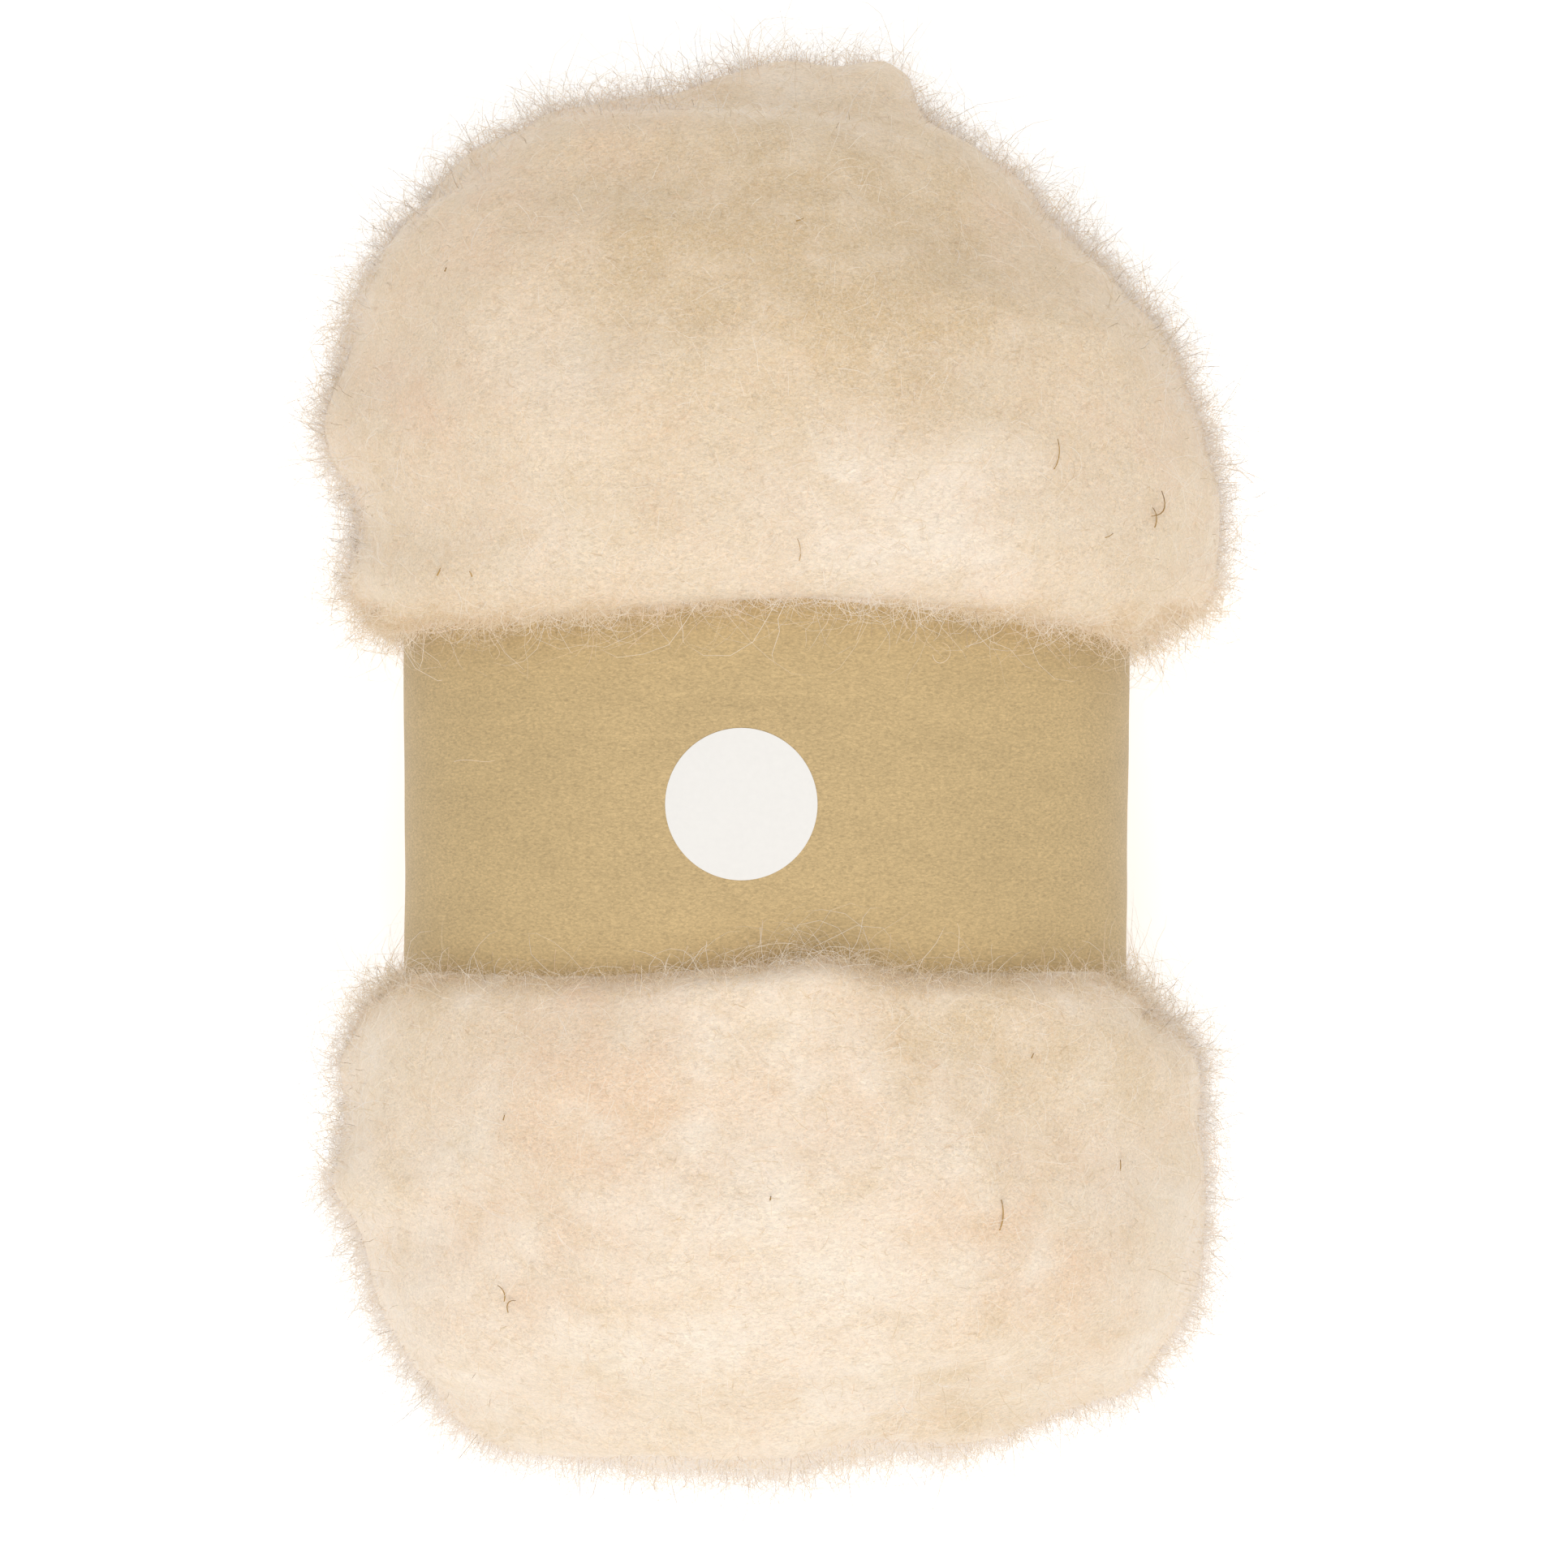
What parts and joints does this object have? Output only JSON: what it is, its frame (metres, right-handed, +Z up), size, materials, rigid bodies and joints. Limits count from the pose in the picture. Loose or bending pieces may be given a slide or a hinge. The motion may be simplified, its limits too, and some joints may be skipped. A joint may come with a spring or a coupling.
{
  "type": "carded wool batt",
  "caption": "Roll of carded wool batt, drawn in at its waist by a band of kraft paper with a round label, and puffed out at its ends.",
  "frame": {"origin": "under the middle of the roll's bounding box, on the surface that the roll lies on", "axes": "+Y along the roll towards its longer puff, +X across it to the right as seen from above, +Z up, out of the surface, through the label"},
  "size_m": [0.1592, 0.2482, 0.1125],
  "materials": {
    "wool": "loose matted fibre, undyed cream",
    "kraft_paper": "uncoated kraft, matt",
    "label_paper": "smooth off-white sticker, bare"
  },
  "bodies": {
    "root": {"wool_batt": "wool", "kraft_band": "kraft_paper", "round_label": "label_paper"}
  },
  "joints": []
}
